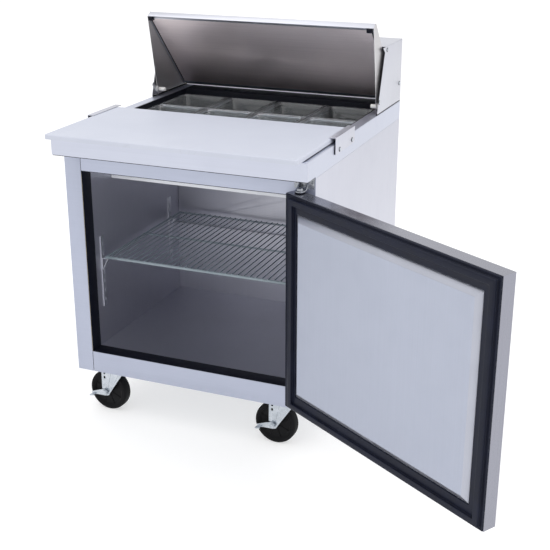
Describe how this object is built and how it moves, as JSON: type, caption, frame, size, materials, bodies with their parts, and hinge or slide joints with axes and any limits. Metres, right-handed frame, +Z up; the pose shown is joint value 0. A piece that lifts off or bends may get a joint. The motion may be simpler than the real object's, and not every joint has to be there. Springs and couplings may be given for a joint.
{
  "type": "sandwich prep table",
  "caption": "Refrigerated sandwich prep table with a cutting board, a well of food pans under a tilting lid, a hinged door, a wire shelf and swivel casters.",
  "frame": {"origin": "on the floor, under the middle of the cabinet between its sides and between its front face and its back", "axes": "+Z up, -Y the way the cabinet faces, +X to the right of someone facing the front"},
  "size_m": [1.3175, 1.1906, 1.1151],
  "materials": {
    "stainless": "fine brushed stainless sheet",
    "liner_steel": "satin steel sheet",
    "galvanised": "galvanised sheet",
    "foam": null,
    "black_plastic": "moulded black plastic",
    "white_plastic": "moulded white plastic",
    "gasket": "soft black vinyl",
    "board": "finely textured white polyethylene",
    "clear_pan": "clear polycarbonate",
    "zinc": "bright zinc plate",
    "wheel_black": "dense black rubber and nylon",
    "shelf_coat": "grey-green epoxy coat",
    "coil_fins": "bare fins",
    "black_paint": "black enamel",
    "grey_paint": "grey powder coat"
  },
  "bodies": {
    "cabinet": {"side_panel_left": "stainless", "side_panel_right": "stainless", "rear_panel": "galvanised", "base_panel": "galvanised", "face_frame": "stainless", "liner_wrap": "liner_steel", "liner_back_and_floor": "liner_steel", "cabinet_foam": "foam", "breaker_strip": "black_plastic", "worktop": "stainless", "well_frame": "black_plastic", "pan_bars": "stainless", "well_baffle": "white_plastic", "hood_shell": "stainless", "hood_sides": "stainless", "board_brackets": "stainless", "panel_screws": "zinc", "hinges": "zinc", "lid_pivot_pins": "white_plastic", "shelf_supports": "stainless", "evaporator_coil": "coil_fins", "evaporator_cover": "liner_steel", "compressor": "black_paint", "condenser": "coil_fins", "rear_grille": "galvanised", "control_box": "grey_paint", "caster_plates": "zinc", "rubber_strips": "gasket"},
    "door": {"door_shell": "stainless", "door_liner": "stainless", "door_foam": "foam", "door_gasket": "gasket", "door_fittings": "black_plastic"},
    "lid": {"lid_outer": "stainless", "lid_inner": "stainless", "lid_foam": "foam", "lid_gussets": "stainless", "lid_bumpers": "black_plastic"},
    "board": {"cutting_board": "board"},
    "shelf": {"wire_shelf": "shelf_coat"},
    "evaporator_fan": {"evaporator_fan": "black_plastic"},
    "condenser_fan": {"condenser_fan": "black_plastic"},
    "pan_front_1": {"pan_front_1": "clear_pan"},
    "pan_front_2": {"pan_front_2": "clear_pan"},
    "pan_front_3": {"pan_front_3": "clear_pan"},
    "pan_front_4": {"pan_front_4": "clear_pan"},
    "pan_rear_1": {"pan_rear_1": "clear_pan"},
    "pan_rear_2": {"pan_rear_2": "clear_pan"},
    "pan_rear_3": {"pan_rear_3": "clear_pan"},
    "pan_rear_4": {"pan_rear_4": "clear_pan"},
    "caster_fl": {"caster_fork_fl": "zinc"},
    "wheel_fl": {"caster_wheel_fl": "wheel_black"},
    "brake_fl": {"caster_brake_fl": "zinc"},
    "caster_fr": {"caster_fork_fr": "zinc"},
    "wheel_fr": {"caster_wheel_fr": "wheel_black"},
    "brake_fr": {"caster_brake_fr": "zinc"},
    "caster_rl": {"caster_fork_rl": "zinc"},
    "wheel_rl": {"caster_wheel_rl": "wheel_black"},
    "caster_rr": {"caster_fork_rr": "zinc"},
    "wheel_rr": {"caster_wheel_rr": "wheel_black"}
  },
  "joints": [
    {"name": "door_swing", "type": "hinge", "parent": "cabinet", "child": "door", "pos_m": [0.3395, -0.41, 0.4675], "axis": [0, 0, 1], "range_deg": [-148, 12]},
    {"name": "lid_tilt", "type": "hinge", "parent": "cabinet", "child": "lid", "pos_m": [0, 0.171, 0.872], "axis": [-1, 0, 0], "range_deg": [-78, 0]},
    {"name": "board_slide", "type": "slide", "parent": "cabinet", "child": "board", "axis": [0, -1, 0], "range_m": [0, 0.3]},
    {"name": "shelf_slide", "type": "slide", "parent": "cabinet", "child": "shelf", "axis": [0, -1, 0], "range_m": [0, 0.45]},
    {"name": "evaporator_fan_spin", "type": "hinge", "parent": "cabinet", "child": "evaporator_fan", "pos_m": [0.17, 0.2, 0.56], "axis": [0, 1, 0], "continuous": true},
    {"name": "condenser_fan_spin", "type": "hinge", "parent": "cabinet", "child": "condenser_fan", "pos_m": [0.18, 0.266, 0.275], "axis": [0, 1, 0], "continuous": true},
    {"name": "pan_front_1_lift", "type": "slide", "parent": "cabinet", "child": "pan_front_1", "axis": [0, 0, 1], "range_m": [0, 0.16]},
    {"name": "pan_front_2_lift", "type": "slide", "parent": "cabinet", "child": "pan_front_2", "axis": [0, 0, 1], "range_m": [0, 0.16]},
    {"name": "pan_front_3_lift", "type": "slide", "parent": "cabinet", "child": "pan_front_3", "axis": [0, 0, 1], "range_m": [0, 0.16]},
    {"name": "pan_front_4_lift", "type": "slide", "parent": "cabinet", "child": "pan_front_4", "axis": [0, 0, 1], "range_m": [0, 0.16]},
    {"name": "pan_rear_1_lift", "type": "slide", "parent": "cabinet", "child": "pan_rear_1", "axis": [0, 0, 1], "range_m": [0, 0.05]},
    {"name": "pan_rear_2_lift", "type": "slide", "parent": "cabinet", "child": "pan_rear_2", "axis": [0, 0, 1], "range_m": [0, 0.05]},
    {"name": "pan_rear_3_lift", "type": "slide", "parent": "cabinet", "child": "pan_rear_3", "axis": [0, 0, 1], "range_m": [0, 0.05]},
    {"name": "pan_rear_4_lift", "type": "slide", "parent": "cabinet", "child": "pan_rear_4", "axis": [0, 0, 1], "range_m": [0, 0.05]},
    {"name": "caster_fl_swivel", "type": "hinge", "parent": "cabinet", "child": "caster_fl", "pos_m": [-0.269, -0.322, 0.14], "axis": [0, 0, 1], "continuous": true},
    {"name": "wheel_fl_spin", "type": "hinge", "parent": "caster_fl", "child": "wheel_fl", "pos_m": [-0.29593, -0.32012, 0.062], "axis": [-0.0698, -0.9976, 0], "continuous": true},
    {"name": "brake_fl_press", "type": "hinge", "parent": "caster_fl", "child": "brake_fl", "pos_m": [-0.29593, -0.32012, 0.062], "axis": [-0.0698, -0.9976, 0], "range_deg": [0, 20]},
    {"name": "caster_fr_swivel", "type": "hinge", "parent": "cabinet", "child": "caster_fr", "pos_m": [0.269, -0.322, 0.14], "axis": [0, 0, 1], "continuous": true},
    {"name": "wheel_fr_spin", "type": "hinge", "parent": "caster_fr", "child": "wheel_fr", "pos_m": [0.24207, -0.32012, 0.062], "axis": [-0.0698, -0.9976, 0], "continuous": true},
    {"name": "brake_fr_press", "type": "hinge", "parent": "caster_fr", "child": "brake_fr", "pos_m": [0.24207, -0.32012, 0.062], "axis": [-0.0698, -0.9976, 0], "range_deg": [0, 20]},
    {"name": "caster_rl_swivel", "type": "hinge", "parent": "cabinet", "child": "caster_rl", "pos_m": [-0.269, 0.316, 0.14], "axis": [0, 0, 1], "continuous": true},
    {"name": "wheel_rl_spin", "type": "hinge", "parent": "caster_rl", "child": "wheel_rl", "pos_m": [-0.27823, 0.29063, 0.062], "axis": [0.9397, -0.342, 0], "continuous": true},
    {"name": "caster_rr_swivel", "type": "hinge", "parent": "cabinet", "child": "caster_rr", "pos_m": [0.269, 0.316, 0.14], "axis": [0, 0, 1], "continuous": true},
    {"name": "wheel_rr_spin", "type": "hinge", "parent": "caster_rr", "child": "wheel_rr", "pos_m": [0.27599, 0.28992, 0.062], "axis": [0.9659, 0.2588, 0], "continuous": true}
  ]
}
